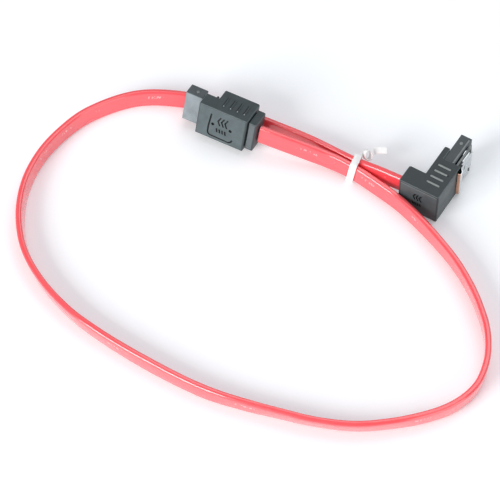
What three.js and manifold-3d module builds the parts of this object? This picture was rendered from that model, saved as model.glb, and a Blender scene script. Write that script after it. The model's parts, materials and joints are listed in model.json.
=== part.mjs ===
import * as THREE from 'three';
import { mergeVertices } from 'three/addons/utils/BufferGeometryUtils.js';
import Module from 'manifold-3d';

// Flat serial data cable with a straight plug and a right-angle plug, laid in one loop, with a twist tie.
// Millimetres, +Z up. The origin is on the surface that the cable lies on, below the middle of the two plugs.

// Cable
const CABLE_WIDTH = 8.0;
const CABLE_THICKNESS = 2.5;
const CABLE_EDGE_RADIUS = 0.8;
const CABLE_STEPS = 78;

// Clearances between pieces that seat in each other
const SEAT_GAP = 0.3;
const CHANNEL_GAP = 0.2;

// Contacts and the slot for the drive's tongue
const CONTACT_COUNT = 7;
const CONTACT_PITCH = 1.27;
const CONTACT_WIDTH = 0.5;
const CONTACT_THICKNESS = 0.3;
const CONTACT_SETBACK = 0.8;
const CONTACT_CREST = 0.45;
// The contact's spring, as shares of the slot's depth and of the crest's height.
const CONTACT_PROFILE = [[0, 0], [0.15, 0.6], [0.3, 1], [0.5, 0.4], [0.65, 0]];
const CONTACT_TAIL = 2.4;
const TONGUE_SLOT_HEIGHT = 1.6;
const TONGUE_SLOT_DEPTH = 6.4;
const TONGUE_SLOT_MARGIN = 1.6;
const KEY_LEG_WIDTH = 1.4;
const KEY_LEG_REACH = 1.0;

// Shells that the contacts stand in
const SHELL_FRONT_WALL = 1.6;
const STRAIGHT_SHELL_BACK_WALL = 2.3;
const ANGLED_SHELL_BACK_WALL = 1.6;
const SHELL_SEAT_THICKNESS = 2.5;
const SHELL_END_WALL = 1.6;
const SHELL_EDGE = 0.2;
const SHELL_CORNER = 0.35;
const SHELL_BUMP_RADIUS = 0.7;
const SHELL_BUMP_HEIGHT = 0.3;
const SHELL_BUMP_SETBACK = 3.6;
const SHELL_BUMP_SIDES = 12;

// Wires inside the plugs
const SIGNAL_DIAMETER = 0.9;
const DRAIN_DIAMETER = 0.4;
const WIRE_SIDES = 8;
const ANGLED_WIRE_STEPS = 14;
const WIRE_BEND_RADIUS = 1.2;
const INNER_MOULD_LENGTH = 5.5;
const INNER_MOULD_WALL = 1.1;

// Overmoulds
const OVERMOULD_STEP = 0.75;
const OVERMOULD_CORNER = 0.6;
const OVERMOULD_EDGE = 0.3;
const RIB_COUNT = 4;
const RIB_LENGTH = 5.8;
const RIB_WIDTH = 0.7;
const RIB_HEIGHT = 0.3;

// Straight plug
const STRAIGHT_SHELL_SHOWN = 7.55;
const STRAIGHT_SHELL_SEATED = 6.0;
const STRAIGHT_FRONT_STEP = 3.6;
const STRAIGHT_NOSE_LENGTH = 5.5;
const STRAIGHT_NOSE_BACK = 3.25;
const STRAIGHT_BODY_LENGTH = 20.8;
const STRAIGHT_BODY_BACK = 9.0;
const STRAIGHT_RIB_PITCH = 3.0;
const STRAIGHT_RIB_START = 8.8;
const GROOVE_LENGTH = 0.35;
const GROOVE_DEPTH = 1.0;
const COLLAR_LENGTH = 3.3;
const COLLAR_WIDTH = 13.4;
const COLLAR_FRONT_STEP = 1.2;
const COLLAR_BACK_STEP = 2.15;
const FRAME_LINE_WIDTH = 0.55;
const FRAME_LINE_DEPTH = 0.3;
const FRAME_LENGTH = 10.4;
const FRAME_START = 5.5;
const FRAME_CORNER = 1.6;
const FRAME_MARGIN = 1.45;
const FRAME_RISE = 4.15;
const PIN_MARK_DIAMETER = 1.3;
const PIN_MARK_DEPTH = 0.6;
const PIN_MARK_START = 1.25;
const PIN_MARK_SPACING = 7.6;
const PIN_MARK_SIDES = 10;

// Right-angle plug
const ANGLED_BLOCK_LENGTH = 7.1;
const ANGLED_BLOCK_DEPTH = 8.1;
const ANGLED_CABLE_LINE = 4.1;
const ANGLED_ARM_FRONT_WALL = 2.3;
const ANGLED_ARM_BACK_WALL = 1.4;
const ANGLED_ARM_FRONT = 23.5;
const ANGLED_ARM_BACK = 17.8;
const ANGLED_SHELL_SHOWN = 9.0;
const ANGLED_SHELL_SEATED = 3.7;
const ANGLED_RIB_PITCH = 3.1;
const ANGLED_RIB_START = 5.2;

// Latch
const LATCH_SLOT = 0.7;
const LATCH_RAIL = 0.8;
const LATCH_RAIL_SETBACK = 2.3;
const LATCH_HEAD_LENGTH = 2.4;
const LATCH_HEAD_NOSE = 0.4;
const LATCH_HEAD_HEIGHT = 1.6;
const LATCH_WEB = 1.0;
const LATCH_THICKNESS = 0.25;
const LATCH_WIDTH = 12.6;
const LATCH_CLEARANCE = 0.3;
const LATCH_BEND = 0.25;
const LATCH_ANCHOR_LENGTH = 3.0;
const LATCH_WINDOW_WIDTH = 2.6;
const LATCH_WINDOW_LENGTH = 1.0;
const LATCH_WINDOW_DROP = 3.2;
const LATCH_SWING_START = 2.4;
const LATCH_SWING_MIDDLE = 1.3;
const LATCH_SWING_END = 0.4;
const LATCH_TAIL_CLEARANCE = 0.3;
const LATCH_TAIL_BULGE = 1.0;
const LATCH_TAIL_DROP = 0.9;
const LATCH_TAIL_FLAT = 1.4;
const LATCH_TAIL_CURL = 0.4;

// Twist tie
const TIE_WIDTH = 2.8;
const TIE_THICKNESS = 0.4;
const TIE_CLEARANCE = 0.75;
const TIE_CORNER = 0.9;
const TIE_STRAND_SPACING = 3.1;
const TIE_KNOT_THICKNESS = 1.3;
const TIE_KNOT_STEPS = 16;
const TIE_TAIL_STEPS = 8;
// The twisted end and the flat tail, from the band's upper outer edge: along the cable, outwards, upwards,
// and the angle that the strip has turned by.
const TIE_KNOT = [
  [0.2, -0.1, -2.0, 0], [0.8, 1.4, -1.2, 180],
  [2.6, 2.6, -1.7, 360], [4.2, 4.6, -2.2, 540],
];
const TIE_TAIL = [
  [3.7, 4.1, -2.1, 540], [5.8, 6.4, -2.4, 600],
  [7.7, 7.8, -2.5, 625], [10.0, 9.1, -2.4, 630],
];

// Where things lie
const STRAIGHT_PLACE = [-56.29, 21.77];
const STRAIGHT_TURN = { roll: -12.5, pitch: 3, heading: -26 };
const ANGLED_PLACE = [27.26, -18.52];
const ANGLED_HEADING = -31.8;
const TIE_PLACE = [10.3, -5.0, 5.35];
const TIE_TURN = { lean: 5, pitch: 7, heading: -22 };

// The cable's route from the straight plug round the loop to the right-angle plug: x, y, height of the
// section's middle, and how many degrees the upright section leans out of the loop.
const ROUTE = [
  [-26.4, 8.95, 8.8, 12], [-20.0, 6.3, 8.3, 12.5], [-8.7, 2.1, 6.9, 12],
  [0.8, -1.6, 5.6, 8], [8.7, -5.9, 5.05, 5], [17.8, -12.7, 4.4, 6],
  [29.8, -23.9, 4.05, 4.5], [45.8, -46.0, 4.05, -1.5], [52.2, -58.7, 4.05, -3],
  [56.2, -70.7, 4.05, -2.5], [58.3, -83.2, 4.05, -1], [57.1, -95.5, 4.05, 1.5],
  [52.4, -106.2, 4.05, 4], [43.8, -113.7, 4.05, 7], [33.5, -118.0, 4.1, 10],
  [20.0, -120.9, 4.1, 14], [7.6, -121.8, 4.1, 16.5], [-6.2, -120.0, 4.1, 17],
  [-20.2, -116.2, 4.1, 14], [-33.9, -112.1, 4.1, 9], [-47.7, -106.7, 4.05, 4.5],
  [-67.4, -95.4, 4.05, 3.5], [-86.8, -81.8, 4.05, 7], [-98.2, -71.9, 4.1, 9.5],
  [-109.1, -58.3, 4.1, 10.5], [-116.0, -44.5, 4.1, 10], [-118.9, -29.1, 4.1, 8],
  [-117.8, -13.5, 4.05, 5.5], [-112.7, 0.8, 4.05, 3.5], [-104.5, 12.8, 4.05, 3],
  [-94.4, 22.2, 4.05, 4.5], [-75.2, 30.5, 4.05, 6], [-55.2, 29.65, 4.05, 8],
  [-38.5, 24.25, 4.05, 7], [-22.2, 16.1, 4.1, 5], [-6.2, 7.6, 4.3, 5],
  [10.3, -3.2, 5.05, 5], [20.3, -9.4, 6.8, 2], [29.0, -14.75, 7.76, 0],
];

const PLASTIC = { color: 0x3c4648, roughness: 0.55, metalness: 0.0 };
const SHELL_PLASTIC = { color: 0x454d50, roughness: 0.5, metalness: 0.0 };
const JACKET = { color: 0xf0303a, roughness: 0.35, metalness: 0.0 };
const STEEL = { color: 0xd6d6d2, roughness: 0.25, metalness: 1.0 };
const GILT = { color: 0xd9b45a, roughness: 0.3, metalness: 1.0 };
const COPPER = { color: 0xc27b52, roughness: 0.35, metalness: 1.0 };
const INSULATION = { color: 0xe9e6dd, roughness: 0.5, metalness: 0.0 };
const NYLON = { color: 0xd8d4c4, roughness: 0.6, metalness: 0.0 };
const TIE_PAPER = { color: 0xf7f6f2, roughness: 0.55, metalness: 0.0 };

const wasm = await Module();
wasm.setup();

// How far a cutting tool, or a piece that joins another, runs past the face that it meets.
const CUT_MARGIN = 0.1;

// Booleans

function toSolid(geometry) {
  const bare = geometry.index ? geometry.toNonIndexed() : geometry.clone();
  bare.deleteAttribute('normal');
  bare.deleteAttribute('uv');
  const merged = mergeVertices(bare, 1e-4);
  return new wasm.Manifold(new wasm.Mesh({
    numProp: 3,
    vertProperties: new Float32Array(merged.attributes.position.array),
    triVerts: new Uint32Array(merged.index.array),
  }));
}

function toGeometry(solid) {
  const mesh = solid.getMesh();
  const geometry = new THREE.BufferGeometry();
  geometry.setAttribute('position', new THREE.BufferAttribute(new Float32Array(mesh.vertProperties), 3));
  geometry.setIndex(new THREE.BufferAttribute(new Uint32Array(mesh.triVerts), 1));
  geometry.computeVertexNormals();
  return geometry;
}

function join(geometries) {
  return toGeometry(geometries.map(toSolid).reduce((sum, next) => sum.add(next)));
}

function cut(geometry, tools) {
  return toGeometry(tools.map(toSolid).reduce((rest, tool) => rest.subtract(tool), toSolid(geometry)));
}

// Shapes

function boxBetween(low, high) {
  const size = high.map((value, i) => value - low[i]);
  return new THREE.BoxGeometry(...size).translate(...low.map((value, i) => value + size[i] / 2));
}

function polygon(points) {
  return new THREE.Shape(points.map(([x, y]) => new THREE.Vector2(x, y)));
}

function roundedPolygon(points, radius) {
  const corners = points.map(([x, y]) => new THREE.Vector2(x, y));
  const shape = new THREE.Shape();
  corners.forEach((corner, i) => {
    const before = corners[(i + corners.length - 1) % corners.length];
    const after = corners[(i + 1) % corners.length];
    const room = Math.min(corner.distanceTo(before), corner.distanceTo(after)) / 2 - CUT_MARGIN;
    const reach = Math.min(radius, room);
    const start = corner.clone().lerp(before, reach / corner.distanceTo(before));
    const end = corner.clone().lerp(after, reach / corner.distanceTo(after));
    if (i === 0) shape.moveTo(start.x, start.y);
    else shape.lineTo(start.x, start.y);
    shape.quadraticCurveTo(corner.x, corner.y, end.x, end.y);
  });
  shape.closePath();
  return shape;
}

function rectangle(low, high) {
  return [[low[0], low[1]], [high[0], low[1]], [high[0], high[1]], [low[0], high[1]]];
}

// A plate of an x-y outline, centred on z, with its two rims rounded by edge.
function plate(shape, width, edge) {
  const geometry = new THREE.ExtrudeGeometry(shape, {
    depth: width - 2 * edge,
    bevelEnabled: edge > 0,
    bevelThickness: edge,
    bevelSize: edge,
    bevelOffset: -edge,
    bevelSegments: 2,
    curveSegments: 3,
  });
  return geometry.translate(0, 0, -width / 2 + edge);
}

// A bar with round ends, lying on the plane z = 0 and standing up by height.
function roundEndedBar(length, width, height) {
  const radius = width / 2;
  const reach = length / 2 - radius;
  const shape = new THREE.Shape();
  shape.absarc(reach, 0, radius, -Math.PI / 2, Math.PI / 2, false);
  shape.absarc(-reach, 0, radius, Math.PI / 2, Math.PI * 1.5, false);
  return new THREE.ExtrudeGeometry(shape, { depth: height, bevelEnabled: false, curveSegments: 4 });
}

function disc(radius, height, sides) {
  return new THREE.CylinderGeometry(radius, radius, height, sides).rotateX(Math.PI / 2);
}

// The outline of a bent sheet of even thickness along a line of points.
function sheetOutline(line, thickness) {
  const points = line.map(([x, y]) => new THREE.Vector2(x, y));
  const sides = [[], []];
  points.forEach((point, i) => {
    const back = points[Math.max(i - 1, 0)];
    const ahead = points[Math.min(i + 1, points.length - 1)];
    const into = point.clone().sub(back).normalize();
    const out = ahead.clone().sub(point).normalize();
    const along = into.clone().add(out).normalize();
    const side = new THREE.Vector2(-along.y, along.x);
    const bend = Math.max(into.lengthSq() && out.lengthSq() ? along.dot(out) : 1, 0.5);
    const offset = side.multiplyScalar(thickness / 2 / bend);
    sides[0].push(point.clone().add(offset));
    sides[1].unshift(point.clone().sub(offset));
  });
  return new THREE.Shape([...sides[0], ...sides[1]]);
}

// A curve that carries a flat section: each point has an angle at which the section leans away from upright,
// towards the left of the way that the curve runs.
class LeaningCurve extends THREE.CatmullRomCurve3 {
  constructor(points) {
    super(points.map(([x, y, z]) => new THREE.Vector3(x, y, z)));
    this.leans = new THREE.SplineCurve(points.map((point, i) => new THREE.Vector2(i, point[3])));
  }

  computeFrenetFrames(segments) {
    const frames = { tangents: [], normals: [], binormals: [] };
    const up = new THREE.Vector3(0, 0, 1);
    for (let i = 0; i <= segments; i++) {
      const u = i / segments;
      const tangent = this.getTangentAt(u);
      const left = up.clone().cross(tangent).normalize();
      const lean = THREE.MathUtils.degToRad(this.leans.getPoint(this.getUtoTmapping(u)).y);
      const normal = left.applyAxisAngle(tangent, -lean);
      frames.tangents.push(tangent);
      frames.normals.push(normal);
      frames.binormals.push(tangent.clone().cross(normal));
    }
    return frames;
  }
}

function sweep(shape, path, steps) {
  return new THREE.ExtrudeGeometry(shape, {
    extrudePath: path,
    steps,
    bevelEnabled: false,
    curveSegments: 2,
  });
}

function named(name, geometry, finish) {
  const mesh = new THREE.Mesh(geometry, new THREE.MeshStandardMaterial(finish));
  mesh.name = name;
  return mesh;
}

// Sizes that follow from the ones above. In a plug's own frame x runs from the mating face towards the cable,
// y from the shell's front face to its back, and z across the width.
const CONTACT_SPAN = (CONTACT_COUNT - 1) * CONTACT_PITCH;
const SLOT_WIDTH = CONTACT_SPAN + 2 * TONGUE_SLOT_MARGIN;
const SHELL_WIDTH = SLOT_WIDTH + 2 * SHELL_END_WALL;
const STRAIGHT_SHELL_THICKNESS = SHELL_FRONT_WALL + TONGUE_SLOT_HEIGHT + STRAIGHT_SHELL_BACK_WALL;
const ANGLED_SHELL_THICKNESS = SHELL_FRONT_WALL + TONGUE_SLOT_HEIGHT + ANGLED_SHELL_BACK_WALL;
const CONTACT_LINE = SHELL_FRONT_WALL - CONTACT_THICKNESS / 3;
const OVERMOULD_WIDTH = SHELL_WIDTH + 2 * OVERMOULD_STEP;
const CHANNEL_WIDTH = CONTACT_WIDTH + 2 * CHANNEL_GAP;
const CHANNEL_HALF_HEIGHT = CONTACT_THICKNESS / 2 + SEAT_GAP;
const WIRE_SLOT_HALF = SIGNAL_DIAMETER / 2 + SEAT_GAP;
const WIRE_SLOT_REACH = CONTACT_SPAN / 2 + SIGNAL_DIAMETER / 2 + SEAT_GAP;
const INNER_MOULD_HALF = WIRE_SLOT_HALF + INNER_MOULD_WALL;
const INNER_MOULD_REACH = WIRE_SLOT_REACH + INNER_MOULD_WALL;
const STRAIGHT_SHELL_LENGTH = STRAIGHT_SHELL_SHOWN + STRAIGHT_SHELL_SEATED;
const STRAIGHT_BODY_END = STRAIGHT_SHELL_SHOWN + STRAIGHT_BODY_LENGTH;
const COLLAR_START = STRAIGHT_BODY_END + GROOVE_LENGTH;
const STRAIGHT_END = COLLAR_START + COLLAR_LENGTH;
const ANGLED_TIP = ANGLED_ARM_FRONT + ANGLED_SHELL_SHOWN;
const ANGLED_SHELL_LENGTH = ANGLED_TIP - ANGLED_ARM_BACK + ANGLED_SHELL_SEATED;
const ANGLED_SHELL_SIDE = ANGLED_BLOCK_LENGTH + ANGLED_ARM_FRONT_WALL;
const LATCH_RAIL_INNER = ANGLED_SHELL_THICKNESS + LATCH_SLOT;
const LATCH_RAIL_OUTER = LATCH_RAIL_INNER + LATCH_RAIL;
const LATCH_TAB = ANGLED_TIP - LATCH_RAIL_SETBACK - LATCH_HEAD_LENGTH - LATCH_CLEARANCE - LATCH_THICKNESS / 2;
const ANGLED_BASE_LENGTH = ANGLED_SHELL_SIDE + LATCH_RAIL_OUTER + ANGLED_ARM_BACK_WALL;

function contactHeights() {
  return Array.from({ length: CONTACT_COUNT }, (_, i) => (i - (CONTACT_COUNT - 1) / 2) * CONTACT_PITCH);
}

// Every third contact is a ground, and takes a bare drain wire.
function isGround(index) {
  return index % 3 === 0;
}

// Plug pieces that both plugs share, in the plug's own frame

// The full block of a shell, with the small bump on its side.
function shellBlock(length, thickness) {
  const outline = roundedPolygon(rectangle([0, 0], [length, thickness]), SHELL_CORNER);
  const bump = disc(SHELL_BUMP_RADIUS, SHELL_BUMP_HEIGHT * 2, SHELL_BUMP_SIDES);
  bump.translate(SHELL_BUMP_SETBACK, thickness / 2, SHELL_WIDTH / 2);
  return [plate(outline, SHELL_WIDTH, SHELL_EDGE), bump];
}

// Cuts the slot for the drive's tongue, with its key leg, and a channel for each contact.
function cutShell(pieces, length) {
  const slotLow = SHELL_FRONT_WALL;
  const slotHigh = slotLow + TONGUE_SLOT_HEIGHT;
  const slotHalf = SLOT_WIDTH / 2;
  const tools = [
    boxBetween([-CUT_MARGIN, slotLow, -slotHalf], [TONGUE_SLOT_DEPTH, slotHigh, slotHalf]),
    boxBetween(
      [-CUT_MARGIN, slotLow, slotHalf - KEY_LEG_WIDTH],
      [TONGUE_SLOT_DEPTH, slotHigh + KEY_LEG_REACH, slotHalf],
    ),
  ];
  for (const height of contactHeights()) {
    tools.push(boxBetween(
      [CONTACT_SETBACK - SEAT_GAP, CONTACT_LINE - CHANNEL_HALF_HEIGHT, height - CHANNEL_WIDTH / 2],
      [length + CUT_MARGIN, CONTACT_LINE + CHANNEL_HALF_HEIGHT, height + CHANNEL_WIDTH / 2],
    ));
  }
  return cut(join(pieces), tools);
}

// The straight plug's shell is thinner where it stands in the overmould.
function straightShell() {
  const blockLength = STRAIGHT_SHELL_SHOWN - SEAT_GAP;
  const half = SHELL_WIDTH / 2;
  const seat = boxBetween(
    [blockLength - SHELL_CORNER, 0, -half],
    [STRAIGHT_SHELL_LENGTH, SHELL_SEAT_THICKNESS, half],
  );
  return cutShell([...shellBlock(blockLength, STRAIGHT_SHELL_THICKNESS), seat], STRAIGHT_SHELL_LENGTH);
}

// The right-angle plug's shell has a rail behind a slot. The rail ends in a thicker head, and the latch passes
// through a slit behind that head.
function angledShell() {
  const edge = SHELL_WIDTH / 2 - SHELL_EDGE;
  const railRoot = ANGLED_TIP - ANGLED_ARM_BACK;
  const headEnd = LATCH_RAIL_SETBACK + LATCH_HEAD_LENGTH;
  const rail = plate(polygon([
    [LATCH_RAIL_SETBACK, LATCH_RAIL_INNER],
    [ANGLED_SHELL_LENGTH, LATCH_RAIL_INNER],
    [ANGLED_SHELL_LENGTH, LATCH_RAIL_OUTER],
    [headEnd, LATCH_RAIL_OUTER],
    [headEnd, LATCH_RAIL_INNER + LATCH_HEAD_HEIGHT],
    [LATCH_RAIL_SETBACK, LATCH_RAIL_INNER + LATCH_HEAD_NOSE],
  ]), 2 * edge, 0);
  const slit = boxBetween(
    [headEnd, LATCH_RAIL_INNER - CUT_MARGIN, LATCH_WEB - edge],
    [headEnd + LATCH_THICKNESS + 2 * LATCH_CLEARANCE, LATCH_RAIL_OUTER + CUT_MARGIN, edge - LATCH_WEB],
  );
  const root = boxBetween(
    [railRoot, ANGLED_SHELL_THICKNESS / 2, -edge],
    [ANGLED_SHELL_LENGTH, LATCH_RAIL_OUTER, edge],
  );
  return cutShell(
    [...shellBlock(ANGLED_SHELL_LENGTH, ANGLED_SHELL_THICKNESS), cut(rail, [slit]), root],
    ANGLED_SHELL_LENGTH,
  );
}

function contactGeometry(shellLength) {
  const spring = CONTACT_PROFILE.map(([depth, rise]) => [
    CONTACT_SETBACK + depth * TONGUE_SLOT_DEPTH,
    CONTACT_LINE + rise * CONTACT_CREST,
  ]);
  const line = [...spring, [shellLength + CONTACT_TAIL, CONTACT_LINE]];
  return plate(sheetOutline(line, CONTACT_THICKNESS), CONTACT_WIDTH, 0);
}

function wireSection(diameter) {
  const points = Array.from({ length: WIRE_SIDES }, (_, i) => {
    const angle = (i / WIRE_SIDES) * 2 * Math.PI;
    return [diameter / 2 * Math.cos(angle), diameter / 2 * Math.sin(angle)];
  });
  return polygon(points);
}

function innerMouldGeometry(start) {
  const low = [start, CONTACT_LINE - INNER_MOULD_HALF, -INNER_MOULD_REACH];
  const high = [start + INNER_MOULD_LENGTH, CONTACT_LINE + INNER_MOULD_HALF, INNER_MOULD_REACH];
  const slot = boxBetween(
    [start - CUT_MARGIN, CONTACT_LINE - WIRE_SLOT_HALF, -WIRE_SLOT_REACH],
    [start + INNER_MOULD_LENGTH + CUT_MARGIN, CONTACT_LINE + WIRE_SLOT_HALF, WIRE_SLOT_REACH],
  );
  return cut(boxBetween(low, high), [slot]);
}

function addContacts(group, side, shellLength) {
  contactHeights().forEach((height, i) => {
    const contact = named(`${side}_contact_${i + 1}`, contactGeometry(shellLength), GILT);
    contact.position.z = height;
    group.add(contact);
  });
}

function addWires(group, side, path, steps) {
  contactHeights().forEach((height, i) => {
    const ground = isGround(i);
    const section = wireSection(ground ? DRAIN_DIAMETER : SIGNAL_DIAMETER);
    const wire = named(`${side}_wire_${i + 1}`, sweep(section, path, steps), ground ? COPPER : INSULATION);
    wire.position.z = height;
    group.add(wire);
  });
}

function ribs(pitch, start, alongX, across, top) {
  return Array.from({ length: RIB_COUNT }, (_, i) => {
    const rib = roundEndedBar(RIB_LENGTH, RIB_WIDTH, RIB_HEIGHT * 2);
    if (alongX) rib.rotateZ(Math.PI / 2);
    const at = start + i * pitch;
    return rib.translate(alongX ? at : across, alongX ? across : at, top - RIB_HEIGHT);
  });
}

// Straight plug

function straightOvermould() {
  const x0 = STRAIGHT_SHELL_SHOWN;
  const front = -STRAIGHT_FRONT_STEP;
  const body = plate(roundedPolygon([
    [x0, front],
    [STRAIGHT_BODY_END, front],
    [STRAIGHT_BODY_END, STRAIGHT_BODY_BACK],
    [x0 + STRAIGHT_NOSE_LENGTH, STRAIGHT_BODY_BACK],
    [x0 + STRAIGHT_NOSE_LENGTH, STRAIGHT_NOSE_BACK],
    [x0, STRAIGHT_NOSE_BACK],
  ], OVERMOULD_CORNER), OVERMOULD_WIDTH, OVERMOULD_EDGE);
  const collarFront = front + COLLAR_FRONT_STEP;
  const collarBack = STRAIGHT_BODY_BACK - COLLAR_BACK_STEP;
  const collar = plate(
    roundedPolygon(rectangle([COLLAR_START, collarFront], [STRAIGHT_END, collarBack]), OVERMOULD_CORNER),
    COLLAR_WIDTH, OVERMOULD_EDGE,
  );
  const neck = boxBetween(
    [STRAIGHT_BODY_END - OVERMOULD_CORNER, collarFront + GROOVE_DEPTH, -COLLAR_WIDTH / 2 + GROOVE_DEPTH],
    [COLLAR_START + OVERMOULD_CORNER, collarBack - GROOVE_DEPTH, COLLAR_WIDTH / 2 - GROOVE_DEPTH],
  );
  const ribAcross = (front + STRAIGHT_BODY_BACK) / 2;
  const top = OVERMOULD_WIDTH / 2;
  const grips = ribs(STRAIGHT_RIB_PITCH, x0 + STRAIGHT_RIB_START, true, ribAcross, top);
  return cut(join([body, collar, neck, ...grips]), [
    ...seatTools(x0 - CUT_MARGIN, STRAIGHT_SHELL_LENGTH, STRAIGHT_END + CUT_MARGIN, SHELL_SEAT_THICKNESS),
    ...frameLine(x0 + FRAME_START, front),
    pinMark(x0 + FRAME_START + PIN_MARK_START, front),
    pinMark(x0 + FRAME_START + PIN_MARK_START + PIN_MARK_SPACING, front),
  ]);
}

// The pockets for the shell and the inner mould, and the slot that the wires leave by.
function seatTools(start, shellEnd, slotEnd, shellBack) {
  const mouldStart = shellEnd + SEAT_GAP;
  const mouldEnd = mouldStart + INNER_MOULD_LENGTH + SEAT_GAP;
  const shellHalf = SHELL_WIDTH / 2 + SEAT_GAP;
  const half = INNER_MOULD_HALF + SEAT_GAP;
  const reach = INNER_MOULD_REACH + SEAT_GAP;
  return [
    boxBetween([start, -SEAT_GAP, -shellHalf], [mouldStart, shellBack + SEAT_GAP, shellHalf]),
    boxBetween(
      [mouldStart - CUT_MARGIN, CONTACT_LINE - half, -reach],
      [mouldEnd, CONTACT_LINE + half, reach],
    ),
    boxBetween(
      [mouldEnd - CUT_MARGIN, CONTACT_LINE - WIRE_SLOT_HALF, -WIRE_SLOT_REACH],
      [slotEnd, CONTACT_LINE + WIRE_SLOT_HALF, WIRE_SLOT_REACH],
    ),
  ];
}

// The sunk line round the label panel: one side and the lower edge, turning up at its far end.
function frameLine(start, front) {
  const low = -OVERMOULD_WIDTH / 2 + FRAME_MARGIN;
  const end = start + FRAME_LENGTH;
  const corner = FRAME_CORNER;
  const line = [
    [start, FRAME_RISE],
    [start, low + corner],
    [start + corner / 3, low + corner / 3],
    [start + corner, low],
    [end - corner, low],
    [end - corner / 3, low + corner / 3],
    [end, low + corner],
  ];
  const groove = new THREE.ExtrudeGeometry(sheetOutline(line, FRAME_LINE_WIDTH), {
    depth: FRAME_LINE_DEPTH * 2, bevelEnabled: false,
  });
  return [groove.rotateX(Math.PI / 2).translate(0, front + FRAME_LINE_DEPTH, 0)];
}

function pinMark(x, front) {
  const radius = PIN_MARK_DIAMETER / 2;
  const hole = new THREE.CylinderGeometry(radius, radius, PIN_MARK_DEPTH * 2, PIN_MARK_SIDES);
  return hole.translate(x, front, 0);
}

function straightPlug() {
  const plug = new THREE.Group();
  plug.add(named('straight_shell', straightShell(), SHELL_PLASTIC));
  addContacts(plug, 'straight', STRAIGHT_SHELL_LENGTH);
  const wireStart = STRAIGHT_SHELL_LENGTH + CONTACT_TAIL + SEAT_GAP;
  const path = new THREE.LineCurve3(
    new THREE.Vector3(wireStart, CONTACT_LINE, 0),
    new THREE.Vector3(STRAIGHT_END - SEAT_GAP, CONTACT_LINE, 0),
  );
  addWires(plug, 'straight', path, 1);
  plug.add(named('straight_inner_mould', innerMouldGeometry(STRAIGHT_SHELL_LENGTH + SEAT_GAP), NYLON));
  plug.add(named('straight_overmould', straightOvermould(), PLASTIC));
  return plug;
}

// Right-angle plug. Its own frame has x along the base from the cable's side, and y towards the mating face.

function angledFromShell(x, y) {
  return [ANGLED_SHELL_SIDE + y, ANGLED_TIP - x];
}

function angledOvermould() {
  const outline = [
    [0, 0],
    [ANGLED_BASE_LENGTH, 0],
    [ANGLED_BASE_LENGTH, ANGLED_ARM_BACK],
    [ANGLED_SHELL_SIDE, ANGLED_ARM_BACK],
    [ANGLED_SHELL_SIDE, ANGLED_ARM_FRONT],
    [ANGLED_BLOCK_LENGTH, ANGLED_ARM_FRONT],
    [ANGLED_BLOCK_LENGTH, ANGLED_BLOCK_DEPTH],
    [0, ANGLED_BLOCK_DEPTH],
  ];
  const body = plate(roundedPolygon(outline, OVERMOULD_CORNER), OVERMOULD_WIDTH, OVERMOULD_EDGE);
  const ribMiddle = (ANGLED_BLOCK_LENGTH + ANGLED_BASE_LENGTH) / 2 - SEAT_GAP;
  const grips = ribs(ANGLED_RIB_PITCH, ANGLED_RIB_START, false, ribMiddle, OVERMOULD_WIDTH / 2);
  const wireX = ANGLED_SHELL_SIDE + CONTACT_LINE;
  const slotEnd = ANGLED_TIP - ANGLED_CABLE_LINE + WIRE_SLOT_HALF;
  const armFront = ANGLED_TIP - ANGLED_ARM_FRONT - CUT_MARGIN;
  const tools = seatTools(armFront, ANGLED_SHELL_LENGTH, slotEnd, LATCH_RAIL_OUTER);
  for (const tool of tools) {
    tool.rotateZ(-Math.PI / 2).translate(ANGLED_SHELL_SIDE, ANGLED_TIP, 0);
  }
  tools.push(boxBetween(
    [-CUT_MARGIN, ANGLED_CABLE_LINE - WIRE_SLOT_HALF, -WIRE_SLOT_REACH],
    [wireX + WIRE_SLOT_HALF, ANGLED_CABLE_LINE + WIRE_SLOT_HALF, WIRE_SLOT_REACH],
  ));
  return cut(join([body, ...grips]), tools);
}

function angledWirePath() {
  const [wireX, wireTop] = angledFromShell(ANGLED_SHELL_LENGTH + CONTACT_TAIL + SEAT_GAP, CONTACT_LINE);
  const path = new THREE.CurvePath();
  const corner = new THREE.Vector3(wireX, ANGLED_CABLE_LINE, 0);
  const before = new THREE.Vector3(wireX, ANGLED_CABLE_LINE + WIRE_BEND_RADIUS, 0);
  const after = new THREE.Vector3(wireX - WIRE_BEND_RADIUS, ANGLED_CABLE_LINE, 0);
  path.add(new THREE.LineCurve3(new THREE.Vector3(wireX, wireTop, 0), before));
  path.add(new THREE.QuadraticBezierCurve3(before, corner, after));
  path.add(new THREE.LineCurve3(after, new THREE.Vector3(SEAT_GAP, ANGLED_CABLE_LINE, 0)));
  return path;
}

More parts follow.
